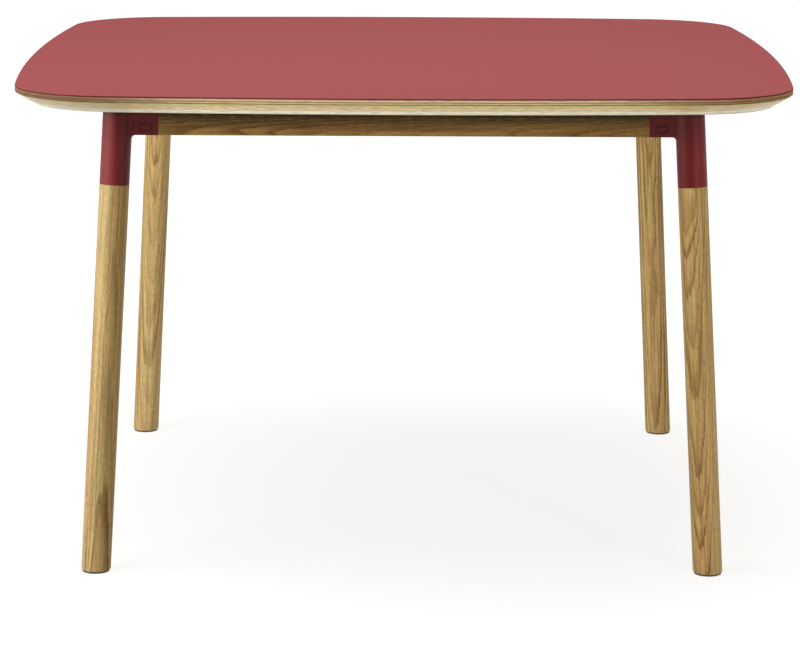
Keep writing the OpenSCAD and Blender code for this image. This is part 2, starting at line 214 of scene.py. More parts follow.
def srgb(r, g, b):
    """Linear colour, with alpha, of an sRGB colour from 0 to 255."""
    def linear(c):
        c /= 255
        return c / 12.92 if c <= 0.04045 else ((c + 0.055) / 1.055) ** 2.4
    return (linear(r), linear(g), linear(b), 1.0)


def grey(value):
    return (value, value, value, 1)


WHITE = grey(1)

# Colours of the surface sheet, its cut edge and the heights where that gives way to the face, and colours of
# the brackets and of the painted shadow in the grooves round their caps
FACE_RED = srgb(173, 86, 87)
CUT_EDGE = srgb(76, 32, 15), srgb(102, 45, 24)
CUT_EDGE_FADE = (TOP_H - 0.75 * MM, TOP_H - 0.45 * MM)
BRACKET_RED = srgb(127, 40, 40)
GROOVE_SHADOW = srgb(30, 6, 7)

# Colours of the backing sheet and glides, and two colours and the roughness of each metal
BACKING = srgb(204, 189, 163)
GLIDE_GREY = srgb(66, 62, 52), srgb(98, 94, 82)
STEEL = (0.62, 0.62, 0.63, 1), (0.5, 0.51, 0.53, 1), 0.24
BRASS = (0.66, 0.47, 0.2, 1), (0.56, 0.38, 0.14, 1), 0.28

# Colours of the oak: two of its late wood, its redder patches, two of its early wood, and its hair lines,
# pores and rays
LATE_WOOD = srgb(212, 187, 129), srgb(194, 160, 100)
RED_PATCHES = srgb(192, 144, 98)
EARLY_WOOD = srgb(102, 66, 22), srgb(132, 92, 38)
HAIR_LINES = srgb(128, 88, 40)
PORES = srgb(104, 72, 38)
RAYS = srgb(226, 198, 150)

# Painted shade on the brackets: how far the painted shadow in the grooves reaches beside and over the cap,
# and from how deep, and the shares of light that painted shade leaves where the sleeve passes into the arms
# and close under the top
GROOVE_BESIDE = 2.5 * MM
GROOVE_OVER = 2 * MM
GROOVE_FROM = 0.3 * MM
SLEEVE_FADE = (-75 * MM, -30 * MM)
SLEEVE_SHARE = 0.68
UPPER_FADE = (-21 * MM, -15 * MM)
UPPER_SHARE = 0.5

# How much of the dark early wood shows on the way through one growth ring
RING_SHARES = [(0.0, 0.3), (0.06, 1), (0.22, 0.85), (0.4, 0.35), (0.65, 0.08), (0.9, 0), (1.0, 0.25)]

# Width of the oak's growth rings, in the legs and in the rails, and how far they stray
RING_WIDTH = 3 * MM
RAIL_RING_WIDTH = 2.2 * MM
RING_WARP = 10 * MM

# A dark side is painted shade: a direction, where along it the painted shadow starts and is full, and the
# shadow's colour. These are the dark sides of the brackets, in the order of the corners, and of the rails
BRACKET_DARK_SIDES = [
    ((1, 0), -8 * MM, 4 * MM, (0.52, 0.28, 0.28)),
    ((0, 1), -9 * MM, -2 * MM, (0.61, 0.36, 0.36)),
    ((0, 1), 0, 8 * MM, (0.9, 0.8, 0.8)),
    ((1, 0), 0, 8 * MM, (0.9, 0.8, 0.8)),
]
# Painted shade on the rails' upper half, and a deeper painted shadow beside the top
RAIL_DARK_SIDES = [
    ((0, 1), UNDERSIDE - RAIL_H, UNDERSIDE - 16 * MM, (0.17, 0.16, 0.09)),
    ((0, 1), UNDERSIDE - 23 * MM, UNDERSIDE - 17 * MM, (0.45, 0.4, 0.3)),
]

# Oak of the legs, in the order of the corners: seed, place and tilt of the pith, tone, strength of the rings
# against the wood between them, and dark side. The tone is partly painted light, lighter on the back legs to
# make up for the shade they stand in
LEG_OAK = [
    (5.3, (13 * MM, 27 * MM), (-0.006, -0.009), (1.02, 1.05, 1.07), 0.95,
     ((0.7, -0.7), -10 * MM, 12 * MM, (0.66, 0.6, 0.5))),
    (7.4, (7 * MM, -25 * MM), (0.014, -0.04), (1.09, 1.03, 0.94), 0.85,
     ((0.7, 0.7), 4 * MM, 22 * MM, (0.78, 0.76, 0.72))),
    (12.6, (-26 * MM, -22 * MM), (-0.01, -0.006), (1.19, 1.2, 1.18), 1.2,
     ((0.7, 0.7), 0, 20 * MM, (0.98, 0.95, 0.9))),
    (15.9, (-20 * MM, 20 * MM), (-0.026, 0.026), (1.16, 1.17, 1.16), 0.7,
     ((-0.7, -0.7), 0, 20 * MM, (1, 0.97, 0.92))),
]

# Oak of the rails: the first one's seed and the step to the next, the pith's distance inwards from the
# rail's middle and down from the underside, its tilt, the tone, browner than the legs' and darker as painted
# shade under the top, and the strength of the rings
RAIL_SEED = 20.3
RAIL_SEED_STEP = 4.7
RAIL_PITH_IN = 30 * MM
RAIL_PITH_DOWN = 47 * MM
RAIL_TILT_IN = -0.03
RAIL_TILT_UP = 0.004
RAIL_TONE = (0.52, 0.43, 0.285)
RAIL_CONTRAST = 0.7

# Colours of the plywood's cut edge, each with its depth in millimetres under the panel's upper face. The two
# palest, from 19.6 mm, are raised from the veneer's own pale colour into a painted highlight along the
# bevel's lower edge
PLYWOOD_LAYERS = [
    (0, (130, 84, 54)), (0.5, (150, 106, 74)), (1.1, (230, 196, 161)), (3.4, (228, 192, 152)),
    (4.0, (140, 108, 64)), (4.8, (142, 110, 66)), (5.4, (232, 200, 142)), (6.5, (228, 198, 140)),
    (7.0, (84, 66, 12)), (7.9, (88, 70, 16)), (8.5, (210, 190, 120)), (12.5, (222, 202, 131)),
    (13.2, (208, 180, 122)), (13.8, (232, 206, 150)), (18.5, (234, 208, 156)), (18.9, (224, 202, 156)),
    (19.6, (255, 244, 212)), (24.7, (255, 248, 222)),
]
PLYWOOD_STREAKS = srgb(176, 146, 98)
VENEER_WAVE = 0.8 * MM

# Darker places of the plywood: the colour of its upright edge round the corners, which starts and is full at
# distances from the table's middle, and the share of light that painted shade leaves at its left and right
# end
CORNER_SHADOW = (0.48, 0.35, 0.28)
CORNER_REACH = (0.63, 0.76)
CORNER_FADE = 1 * MM
LEFT_END = (-480 * MM, -240 * MM)
LEFT_SHARE = 0.58
RIGHT_END = (280 * MM, 460 * MM)
RIGHT_SHARE = 0.86


# Camera, at the photograph's viewing angle

def make_camera():
    forward = Vector((0, math.cos(CAMERA_PITCH), -math.sin(CAMERA_PITCH)))
    right = Vector((1, 0, 0))
    up = right.cross(forward)
    x = math.cos(CAMERA_ROLL) * right + math.sin(CAMERA_ROLL) * up
    y = math.cos(CAMERA_ROLL) * up - math.sin(CAMERA_ROLL) * right
    turn = Matrix((x, y, -forward)).transposed().to_4x4()
    data = bpy.data.cameras.new("camera")
    data.lens = CAMERA_LENS
    data.sensor_width = SENSOR_WIDTH
    camera = bpy.data.objects.new("camera", data)
    camera.matrix_world = Matrix.Translation(CAMERA_PLACE) @ turn
    bpy.context.collection.objects.link(camera)
    bpy.context.scene.camera = camera


# Node trees

class Nodes:
    """A material's or world's node tree, with short calls that add and link nodes."""

    def __init__(self, owner):
        owner.use_nodes = True
        self.owner = owner
        self.tree = owner.node_tree

    def put(self, socket, value):
        """Links a socket to another one or sets its value."""
        if isinstance(value, bpy.types.NodeSocket):
            self.tree.links.new(value, socket)
        else:
            socket.default_value = value

    def new(self, kind):
        return self.tree.nodes.new("ShaderNode" + kind)

    def add(self, kind, inputs, output=0, **settings):
        """Adds a node and gives back one of its outputs."""
        node = self.new(kind)
        for name, value in settings.items():
            setattr(node, name, value)
        for name, value in inputs.items():
            self.put(node.inputs[name], value)
        return node.outputs[output]

    def object_place(self):
        return self.new("TexCoord").outputs["Object"]

    def math(self, operation, *values, clamp=False):
        return self.add("Math", dict(enumerate(values)), operation=operation, use_clamp=clamp)

    def weigh(self, *parts, base=0.0):
        """Sum of values, each times its weight, and a base."""
        total = base
        for value, weight in parts:
            total = self.math("MULTIPLY_ADD", value, weight, total)
        return total

    def vector(self, operation, *values):
        return self.add("VectorMath", dict(enumerate(values)), operation=operation)

    def length(self, value):
        return self.add("VectorMath", {0: value}, output="Value", operation="LENGTH")

    def shade(self, colour, share):
        """A colour made lighter or darker by a factor."""
        colour = colour[:3] if isinstance(colour, tuple) else colour
        return self.add("VectorMath", {0: colour, 3: share}, operation="SCALE")

    def split(self, value):
        node = self.new("SeparateXYZ")
        self.put(node.inputs[0], value)
        return node.outputs

    def join(self, x, y, z):
        return self.add("CombineXYZ", {0: x, 1: y, 2: z})

    def noise(self, place, scale, detail=2, rough=0.5, output=0):
        """Noise round 0.5 at a place; the scale is one number or one for each axis."""
        if isinstance(scale, tuple):
            place = self.vector("MULTIPLY", place, scale)
            scale = 1.0
        inputs = {"Vector": place, "Scale": scale, "Detail": detail, "Roughness": rough}
        return self.add("TexNoise", inputs, output=output)

    def remap(self, value, low, high, to_low=0.0, to_high=1.0):
        inputs = {"Value": value, "From Min": low, "From Max": high, "To Min": to_low, "To Max": to_high}
        return self.add("MapRange", inputs, interpolation_type="SMOOTHSTEP")

    def ramp(self, value, stops):
        node = self.new("ValToRGB")
        elements = node.color_ramp.elements
        while len(elements) < len(stops):
            elements.new(0.5)
        for element, (place, colour) in zip(elements, stops):
            element.position = place
            element.color = colour
        self.put(node.inputs[0], value)
        return node.outputs[0]

    def mix(self, share, a, b):
        """A mix of two colours, whose sockets on the node are 6, 7 and 2."""
        return self.add("Mix", {0: share, 6: a, 7: b}, output=2, data_type="RGBA")

    def darken(self, colour, x, y, dark_side):
        """A colour that takes on a dark side's painted shadow."""
        towards, start, end, shadow = dark_side
        along = self.weigh((x, towards[0]), (y, towards[1]))
        shadow = self.mix(self.remap(along, start, end), WHITE, shadow + (1,))
        return self.vector("MULTIPLY", colour, shadow)

    def bump(self, height, distance, strength):
        return self.add("Bump", {"Height": height, "Distance": distance, "Strength": strength})

    def principled(self, **inputs):
        shader = self.tree.nodes["Principled BSDF"]
        for name, value in inputs.items():
            self.put(shader.inputs[name.replace("_", " ")], value)
        return self.owner


def material(name):
    return Nodes(bpy.data.materials.new(name))


# Floor, background and light

def seen_rays(nodes):
    """1 for rays that show the background, straight, mirrored or through something, and 0 for light."""
    path = nodes.new("LightPath").outputs
    mirrored = nodes.math("MAXIMUM", path["Is Glossy Ray"], path["Is Transmission Ray"])
    return nodes.math("MAXIMUM", path["Is Camera Ray"], mirrored)


def make_floor():
    """A dull floor that glows, more for the rays that see it, so that it looks white but for the table's
    faint shadow, which is partly cast and partly painted by a weaker seen glow near the table."""
    mesh = bpy.data.meshes.new("floor")
    outline = [(x * FLOOR_HALF, y * FLOOR_HALF, 0) for x, y in CORNER_SIGN]
    mesh.from_pydata(outline, [], [(0, 1, 2, 3)])
    floor = bpy.data.objects.new("floor", mesh)
    bpy.context.collection.objects.link(floor)
    floor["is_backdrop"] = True

    nodes = material("floor")
    away = nodes.vector("SUBTRACT", nodes.object_place(), GLOW_MIDDLE)
    away = nodes.length(nodes.vector("MULTIPLY", away, GLOW_SCALE))
    # Painted shadow: the seen glow is weaker near the table
    seen_glow = nodes.remap(away, GLOW_FROM, GLOW_TO, GLOW_NEAR, GLOW_FAR)
    more = nodes.math("SUBTRACT", seen_glow, GLOW_LIGHT)
    nodes.principled(
        Base_Color=grey(FLOOR_SHADE), Roughness=1.0, Specular_IOR_Level=0.0, Emission_Color=WHITE,
        Emission_Strength=nodes.math("MULTIPLY_ADD", seen_rays(nodes), more, GLOW_LIGHT),
    )
    mesh.materials.append(nodes.owner)


def make_world():
    """A world that is seen as white and lights less."""
    world = bpy.data.worlds.new("world")
    bpy.context.scene.world = world
    nodes = Nodes(world)
    background = nodes.tree.nodes["Background"]
    background.inputs["Color"].default_value = WHITE
    strength = nodes.math("MULTIPLY_ADD", seen_rays(nodes), 1.0 - WORLD_LIGHT, WORLD_LIGHT)
    nodes.put(background.inputs["Strength"], strength)


def make_lights():
    for name, (place, target, size, power) in LIGHTS.items():
        data = bpy.data.lights.new(name, "AREA")
        data.shape = "RECTANGLE"
        data.size, data.size_y = size
        data.energy = power
        light = bpy.data.objects.new(name, data)
        light.location = place
        light.rotation_euler = (Vector(target) - Vector(place)).to_track_quat("-Z", "Y").to_euler()
        light.visible_camera = False
        bpy.context.collection.objects.link(light)


# Oak

def from_pith(nodes, noise, u, v, w, pith, tilt):
    """Both distances from the pith line, which leans by tilt and strays along the wood."""
    stray = nodes.split(nodes.vector("SUBTRACT", noise(16, 2.6, output="Color"), (0.5, 0.5, 0.5)))
    offsets = []
    for side, here in enumerate((u, v)):
        straight = nodes.math("SUBTRACT", here, nodes.math("MULTIPLY_ADD", w, tilt[side], pith[side]))
        offsets.append(nodes.math("MULTIPLY_ADD", stray[side], RING_WARP, straight))
    return offsets


def early_wood(nodes, noise, seed, radius, ring):
    """1 in a growth ring's dark porous wood, 0 in its pale wood. The rings waver, differ in width and in
    strength, and fade in places."""
    rings = nodes.math("DIVIDE", radius, ring)
    rings = nodes.weigh((noise(90, 7, detail=3), 0.7), (noise(420, 20), 0.45), base=rings)
    rings = nodes.weigh((nodes.noise(nodes.join(rings, seed, 0.0), 0.6, detail=1), 1.6), base=rings)
    early = nodes.ramp(nodes.math("FRACT", rings), [(place, grey(share)) for place, share in RING_SHARES])
    ring_tone = nodes.noise(nodes.join(nodes.math("FLOOR", rings), seed, 1.7), 3.1, detail=0)
    early = nodes.math("MULTIPLY", early, nodes.remap(ring_tone, 0.3, 0.7, 0.45, 1.0))
    return nodes.math("MULTIPLY", early, nodes.remap(noise(40, 5, detail=1), 0.3, 0.65, 0.5, 1.0))


def oak(name, seed, pith, tilt, tone, contrast, dark_sides, ring=RING_WIDTH, axes="xyz"):
    """Lacquered oak. Growth rings lie round a pith line that passes the piece's own Z axis at pith and
    tilts from it, so that the surface cuts them into straight lines, long ellipses and nested arches.
    The axes name the two across the wood and the one along it."""
    nodes = material(name)
    place = nodes.split(nodes.object_place())
    u, v, w = (place["xyz".index(axis)] for axis in axes)
    shifted = nodes.vector("ADD", nodes.join(u, v, w), (seed * 0.37, seed * 0.61, seed * 0.83))

    def noise(across, along, **settings):
        return nodes.noise(shifted, (across, across, along), **settings)

    offsets = from_pith(nodes, noise, u, v, w, pith, tilt)
    radius = nodes.length(nodes.join(*offsets, 0.0))
    early = early_wood(nodes, noise, seed, radius, ring)

    light = nodes.mix(noise(22, 3), *LATE_WOOD)
    light = nodes.mix(nodes.remap(noise(70, 2.4), 0.5, 0.72, 0.0, 0.7), light, RED_PATCHES)
    dark = nodes.mix(noise(30, 4), *EARLY_WOOD)
    colour = nodes.mix(nodes.math("MULTIPLY", early, contrast), light, dark)
    colour = nodes.mix(nodes.remap(noise(330, 4), 0.54, 0.66, 0.0, 0.4), colour, HAIR_LINES)
    fibres = noise(430, 8, detail=3, rough=0.6)
    clouds = noise(9, 1.4)
    streaks = noise(190, 3.5, detail=3)
    flecks = noise(520, 130)
    value = nodes.weigh((fibres, 0.7), (clouds, 0.3), (streaks, 0.8), (flecks, 0.8), base=-0.3)
    # Tone over the wood's own colour, which paints shade on the rails and light on the back legs
    colour = nodes.vector("MULTIPLY", nodes.shade(colour, value), tone)
    # Painted shade on each dark side
    for dark_side in dark_sides:
        colour = nodes.darken(colour, u, v, dark_side)

    pores = nodes.remap(noise(2300, 70, detail=1), 0.55, 0.68)
    pores = nodes.math("MULTIPLY", pores, nodes.math("ADD", early, 0.12))
    colour = nodes.mix(nodes.math("MULTIPLY", pores, 0.5, clamp=True), colour, PORES)
    angle = nodes.math("ARCTAN2", offsets[1], offsets[0])
    rays = nodes.noise(nodes.join(angle, radius, w), (150.0, 60.0, 55.0), detail=1)
    colour = nodes.mix(nodes.math("MULTIPLY", nodes.remap(rays, 0.64, 0.72), 0.3), colour, RAYS)

    height = nodes.weigh((fibres, 0.35), (pores, -1.0), (early, -0.25))
    return nodes.principled(
        Base_Color=colour, Specular_IOR_Level=0.15,
        Roughness=nodes.weigh((early, 0.12), (fibres, 0.1), base=0.46),
        Normal=nodes.bump(height, 0.12 * MM, 0.6),
    )


def rail_oak(k, side):
    """Oak of a rail: the wood runs along X in the front and back rail and along Y in the others."""
    inwards = 1 if side in ("front", "left") else -1
    middle = -inwards * (FOOT - RAIL_SHIFT)
    return oak(
        f"oak_rail_{side}", RAIL_SEED + RAIL_SEED_STEP * k,
        (middle + inwards * RAIL_PITH_IN, UNDERSIDE - RAIL_PITH_DOWN),
        (RAIL_TILT_IN * inwards, RAIL_TILT_UP), RAIL_TONE, RAIL_CONTRAST, RAIL_DARK_SIDES,
        ring=RAIL_RING_WIDTH, axes="yzx" if side in ("front", "back") else "xzy",
    )


# Other materials

def surface_sheet():
    """Matte sheet with a fine mottle, and its dark cut edge."""
    nodes = material("surface_sheet")
    place = nodes.object_place()
    mottle = nodes.noise(place, 55, detail=4, rough=0.6)
    speckle = nodes.noise(place, 1100)
    pebble = nodes.noise(place, 2600)
    face = nodes.shade(FACE_RED, nodes.weigh((mottle, 0.06), (speckle, 0.1), base=0.92))
    edge = nodes.mix(nodes.noise(place, (60, 60, 900), detail=3), *CUT_EDGE)
    on_face = nodes.remap(nodes.split(place)[2], *CUT_EDGE_FADE)
    return nodes.principled(
        Base_Color=nodes.mix(on_face, edge, face), Specular_IOR_Level=0.08,
        Roughness=nodes.weigh((mottle, 0.1), base=0.75),
        Normal=nodes.bump(nodes.weigh((speckle, 0.6), (pebble, 1.0)), 0.03 * MM, 0.35),
    )


def plywood():
    """Plywood cut across its veneers, whose colours change with the depth. Round the corners the upright
    edge is darker and duller. The panel's left and right end are darker too, by painted shade."""
    nodes = material("plywood")
    place = nodes.object_place()
    x, y, z = nodes.split(place)
    streak = nodes.noise(place, (9, 9, 420), detail=3, rough=0.6)
    drift = nodes.noise(place, 5)
    wavy = nodes.math("MULTIPLY_ADD", nodes.math("SUBTRACT", drift, 0.5), VENEER_WAVE, z)
    depth = nodes.math("DIVIDE", nodes.math("SUBTRACT", PLYWOOD_TOP, wavy), PLYWOOD_T)
    veneers = nodes.ramp(depth, [(mm * MM / PLYWOOD_T, srgb(*colour)) for mm, colour in PLYWOOD_LAYERS])
    colour = nodes.mix(nodes.math("MULTIPLY", streak, 0.35), veneers, PLYWOOD_STREAKS)

    fibres = nodes.noise(place, (60, 60, 2600))
    pores = nodes.noise(place, (1500, 1500, 900), detail=1)
    grain = nodes.noise(place, (55, 55, 600), detail=4, rough=0.6)
    value = nodes.weigh((fibres, 0.24), (pores, 0.12), (streak, 0.22), (grain, 1.6), base=-0.04)
    colour = nodes.shade(colour, value)

    reach = nodes.remap(nodes.length(nodes.join(x, y, 0.0)), *CORNER_REACH)
    upright = nodes.remap(z, BEVEL_TOP - CORNER_FADE, BEVEL_TOP)
    oblique = nodes.math("MULTIPLY", reach, upright)
    corner = nodes.vector("MULTIPLY", colour, CORNER_SHADOW)
    # Painted shade towards the right end, though not on the upright edge round the corners
    side = nodes.shade(colour, nodes.remap(x, *RIGHT_END, 1.0, RIGHT_SHARE))
    colour = nodes.mix(oblique, side, corner)
    # Painted shade towards the left end
    colour = nodes.shade(colour, nodes.remap(x, *LEFT_END, LEFT_SHARE, 1.0))
    return nodes.principled(
        Base_Color=colour, Specular_IOR_Level=0.45,
        Roughness=nodes.weigh((fibres, 0.15), (oblique, 0.45), base=0.32),
        Normal=nodes.bump(nodes.weigh((fibres, 0.6), (streak, 1.0)), 0.1 * MM, 0.5),
    )


def backing_sheet():
    """Pale sheet with broad mottles and fine specks."""
    nodes = material("backing_sheet")
    place = nodes.object_place()
    mottle = nodes.noise(place, 30, detail=5, rough=0.65)
    speckle = nodes.noise(place, 900)
    return nodes.principled(
        Base_Color=nodes.shade(BACKING, nodes.weigh((mottle, 0.1), (speckle, 0.08), base=0.91)),
        Roughness=nodes.weigh((mottle, 0.12), base=0.55), Specular_IOR_Level=0.2,
        Normal=nodes.bump(speckle, 0.03 * MM, 0.4),
    )


def in_groove(nodes, along, across, up):
    """1 on the walls of the groove round an arm's cap, where a painted shadow goes, and 0 elsewhere."""
    middle = GROOVE_FROM + CAP_RECESS + CAP_T / 2 - RAIL_T / 2
    near = nodes.math("COMPARE", along, CAP_U, CAP_L / 2 + GROOVE_BESIDE)
    level = nodes.math("COMPARE", up, CAP_Z, CAP_H / 2 + GROOVE_OVER)
    deep = nodes.math("COMPARE", across, middle, CAP_T / 2)
    return nodes.math("MULTIPLY", nodes.math("MULTIPLY", near, level), deep)


def bracket_plastic(name, dark_side):
    """Moulded plastic with a fine satin grain and faint flow marks. Shade is painted on one side, up the
    sleeve and again close to the top's underside, and a shadow is painted in the grooves round the caps."""
    nodes = material(name)
    place = nodes.object_place()
    x, y, z = nodes.split(place)
    flow = nodes.noise(place, (24, 24, 9), detail=3)
    grain = nodes.noise(place, 2400)
    value = nodes.weigh((flow, 0.12), (grain, 0.06), base=0.91)
    # Painted shade up the sleeve where it passes into the arms, and again close under the top
    value = nodes.math("MULTIPLY", value, nodes.remap(z, *SLEEVE_FADE, 1.0, SLEEVE_SHARE))
    value = nodes.math("MULTIPLY", value, nodes.remap(z, *UPPER_FADE, 1.0, UPPER_SHARE))
    # Painted shade on the bracket's dark side
    colour = nodes.darken(nodes.shade(BRACKET_RED, value), x, y, dark_side)
    # Painted shadow in the grooves round the caps
    groove = nodes.math("MAXIMUM", in_groove(nodes, x, y, z), in_groove(nodes, y, x, z))
    return nodes.principled(
        Base_Color=nodes.mix(groove, colour, GROOVE_SHADOW), Specular_IOR_Level=0.18,
        Roughness=nodes.weigh((flow, 0.1), base=0.4),
        Normal=nodes.bump(grain, 0.025 * MM, 0.4),
    )


def glide_plastic():
    """Grey plastic with scuffs."""
    nodes = material("glide_plastic")
    scuffs = nodes.noise(nodes.object_place(), (90, 90, 300), detail=4, rough=0.7)
    return nodes.principled(
        Base_Color=nodes.mix(scuffs, *GLIDE_GREY), Specular_IOR_Level=0.4,
        Roughness=nodes.weigh((scuffs, 0.25), base=0.5),
        Normal=nodes.bump(scuffs, 0.05 * MM, 0.5),
    )


def metal(name, colour, other, rough):
    """Plated metal with fine turning marks and a faint bloom."""
    nodes = material(name)
    place = nodes.object_place()
    bloom = nodes.noise(place, 160, detail=4, rough=0.6)
    marks = nodes.noise(place, (500, 500, 6000))
    return nodes.principled(
        Base_Color=nodes.mix(bloom, colour, other), Metallic=1.0,
        Roughness=nodes.weigh((bloom, 0.18), base=rough),
        Normal=nodes.bump(marks, 0.01 * MM, 0.4),
    )


def make_looks():
    """Every material, by the piece or kind of piece that wears it."""
    look = {
        "surface_sheet": surface_sheet(),
        "plywood": plywood(),
        "backing_sheet": backing_sheet(),
        "glide_plastic": glide_plastic(),
        "steel": metal("steel", *STEEL),
        "brass": metal("brass", *BRASS),
    }
    for corner, dark_side in zip(CORNERS, BRACKET_DARK_SIDES):
        look[f"bracket_{corner}"] = bracket_plastic(f"bracket_plastic_{corner}", dark_side)
    for corner, (*wood, dark_side) in zip(CORNERS, LEG_OAK):
        look[f"leg_{corner}"] = oak(f"oak_leg_{corner}", *wood, [dark_side])
    for k, side in enumerate(SIDES):
        look[f"rail_{side}"] = rail_oak(k, side)
    return look


# Mesh helpers

def make_piece(name, verts, faces, slot, look, nodes, place=Matrix.Identity(4), sharp=40):
    """A new piece on the root body that stands for nodes, smooth but for edges sharper than an angle."""
    mesh = bpy.data.meshes.new(name)
    mesh.from_pydata([tuple(map(float, v)) for v in verts], [], [tuple(map(int, f)) for f in faces])
    mesh.validate()
    mesh.shade_smooth()
    if sharp:
        mesh.set_sharp_from_angle(angle=math.radians(sharp))
    mesh.materials.append(look)
    piece = bpy.data.objects.new(name, mesh)
    piece.matrix_world = place
    bpy.context.collection.objects.link(piece)
    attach(piece, "root")
    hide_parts(*nodes)
    return piece


def quarter_turn(steps):
    """Angles from 0 to 90 degrees, both included."""
    return [math.radians(90 * i / steps) for i in range(steps + 1)]


def loft(rings):
    """Vertices and faces of a closed solid through rings of equally many points, each ring
    anticlockwise seen from beyond the last one, with one face over each end."""
    n = len(rings[0])
    verts = [p for ring in rings for p in ring]
    faces = []
    for k in range(len(rings) - 1):
        for i in range(n):
            j = (i + 1) % n
            faces.append((k * n + i, k * n + j, (k + 1) * n + j, (k + 1) * n + i))
    faces.append(tuple(range(n - 1, -1, -1)))
    faces.append(tuple(range(len(verts) - n, len(verts))))
    return verts, faces


def corner_matrix(k):
    """Frame of a corner, where the leg's axis meets the floor. X and Y run along the rails."""
    sx, sy = CORNER_SIGN[k]
    return Matrix.Translation((sx * FOOT, sy * FOOT, 0)) @ Matrix.Rotation(math.radians(90 * k), 4, "Z")


def leg_matrix(k):
    """Frame of a leg, whose Z is the leg's axis."""
    turn = Matrix.Rotation(math.radians(45), 4, "Z") @ Matrix.Rotation(LEAN, 4, "Y")
    return corner_matrix(k) @ turn


def bracket_matrix(k):
    """Frame of a bracket, under the top where the rails' middles meet."""
    return corner_matrix(k) @ Matrix.Translation((RAIL_SHIFT, RAIL_SHIFT, UNDERSIDE))


# Layers of the top

def arc(centre, r, start, end, steps):
    """Points of an arc, without its last one."""
    return [
        (centre[0] + r * math.cos(a), centre[1] + r * math.sin(a))
        for a in (start + (end - start) * i / steps for i in range(steps))
    ]


def outline_ring(inset, z, side_steps=36, corner_steps=60):
    """The top's outline at a height, set in by a distance: four bowed sides, each an arc round a point m
    from the middle, and four corner arcs tangent to them, round a point c from both middle lines."""
    m = TOP_W / 2 - SIDE_BOW_R
    apart = math.sqrt(2) * abs(m)
    reach = SIDE_BOW_R - CORNER_R
    c = m / 2 + math.sqrt(reach * reach - apart * apart / 4) / math.sqrt(2)
    a = math.atan2(c, c - m)
    b = math.pi / 2 - a
    points = []
    for quarter in range(4):
        turn = quarter * math.pi / 2
        cos, sin = math.cos(turn), math.sin(turn)
        corner = (c * cos - c * sin, c * sin + c * cos)
        points += arc((m * cos, m * sin), SIDE_BOW_R - inset, turn - a, turn + a, side_steps)
        points += arc(corner, CORNER_R - inset, turn + a, turn + b, corner_steps)
    return [(x, y, z) for x, y in points]


def make_surface(look):
    """Sheet with a rounded upper edge."""
    rings = [outline_ring(HIDDEN_RING, PLYWOOD_TOP), outline_ring(SURFACE_LOWER_EASE, PLYWOOD_TOP)]
    rings.append(outline_ring(0, PLYWOOD_TOP + SURFACE_LOWER_EASE))
    for a in quarter_turn(5):
        inset = SURFACE_EASE - SURFACE_EASE * math.cos(a)
        rings.append(outline_ring(inset, TOP_H - SURFACE_EASE + SURFACE_EASE * math.sin(a)))
    rings += [outline_ring(inset, TOP_H) for inset in SURFACE_RINGS]
    make_piece("surface_sheet", *loft(rings), "surface_sheet", look["surface_sheet"], ["top_surface"])


def make_panel(look):
    """Plywood with an upright edge over a bevel that swells out a little."""
    rings = [outline_ring(BEVEL_INSET + HIDDEN_RING, PLYWOOD_BASE)]
    for i in range(BEVEL_STEPS, -1, -1):
        t = i / BEVEL_STEPS
        inset = BEVEL_INSET * t - 4 * BEVEL_BELLY * t * (1 - t)
        rings.append(outline_ring(inset, BEVEL_TOP + (PLYWOOD_BASE - BEVEL_TOP) * t))
    rings += [outline_ring(0, BEVEL_TOP + BEVEL_EASE), outline_ring(0, PLYWOOD_TOP - PLYWOOD_EASE)]
    rings += [outline_ring(PLYWOOD_EASE, PLYWOOD_TOP), outline_ring(HIDDEN_RING, PLYWOOD_TOP)]
    make_piece("plywood_panel", *loft(rings), "plywood", look["plywood"], ["top_plywood"], sharp=25)


def make_backing(look):
    """Thin sheet inside the bevel's lower edge."""
    rings = [outline_ring(BEVEL_INSET + inset, UNDERSIDE) for inset in (HIDDEN_RING, BACKING_EASE)]
    rings += [outline_ring(BEVEL_INSET, z) for z in (UNDERSIDE + BACKING_EASE, PLYWOOD_BASE)]
    make_piece("balancing_sheet", *loft(rings), "backing_sheet", look["backing_sheet"], ["top_backing"])


# Distance functions of the corner brackets

def length(*parts):
    """Length of vectors, given by their parts."""
    return np.sqrt(sum(p * p for p in parts))


def both(a, b, radius=0.0):
    """Distance to what two solids share, with the edge between them rounded."""
    if not radius:
        return np.maximum(a, b)
    a, b = a + radius, b + radius
    return length(np.maximum(a, 0), np.maximum(b, 0)) + np.minimum(np.maximum(a, b), 0) - radius


def blended(a, b, cos, radius):
    """Distance to two solids joined by a fillet; cos is the cosine of the angle between their normals."""
    u, v = radius - a, radius - b
    spread = np.maximum(u * u + v * v - 2 * cos * u * v, 0) / np.maximum(1 - cos * cos, BLEND_SINE_SQUARED)
    return np.where((u > cos * v) & (v > cos * u), radius - np.sqrt(spread), np.minimum(a, b))


def oblong_distance(x, z, l, h):
    """Distance to an oblong with round ends."""
    return length(np.maximum(np.abs(x) - (l - h) / 2, 0), z) - h / 2


def from_leg_axis(p):
    """How far places are along the leg's axis from the floor, how far off it, and in which direction."""
    axis = np.array([SLOPE, SLOPE, 1.0])
    axis /= np.linalg.norm(axis)
    off = p - np.array([-RAIL_SHIFT, -RAIL_SHIFT, -UNDERSIDE])
    s = off @ axis
    off = off - s[..., None] * axis
    radial = length(off[..., 0], off[..., 1], off[..., 2])
    return s, radial, off / np.maximum(radial, TINY)[..., None]


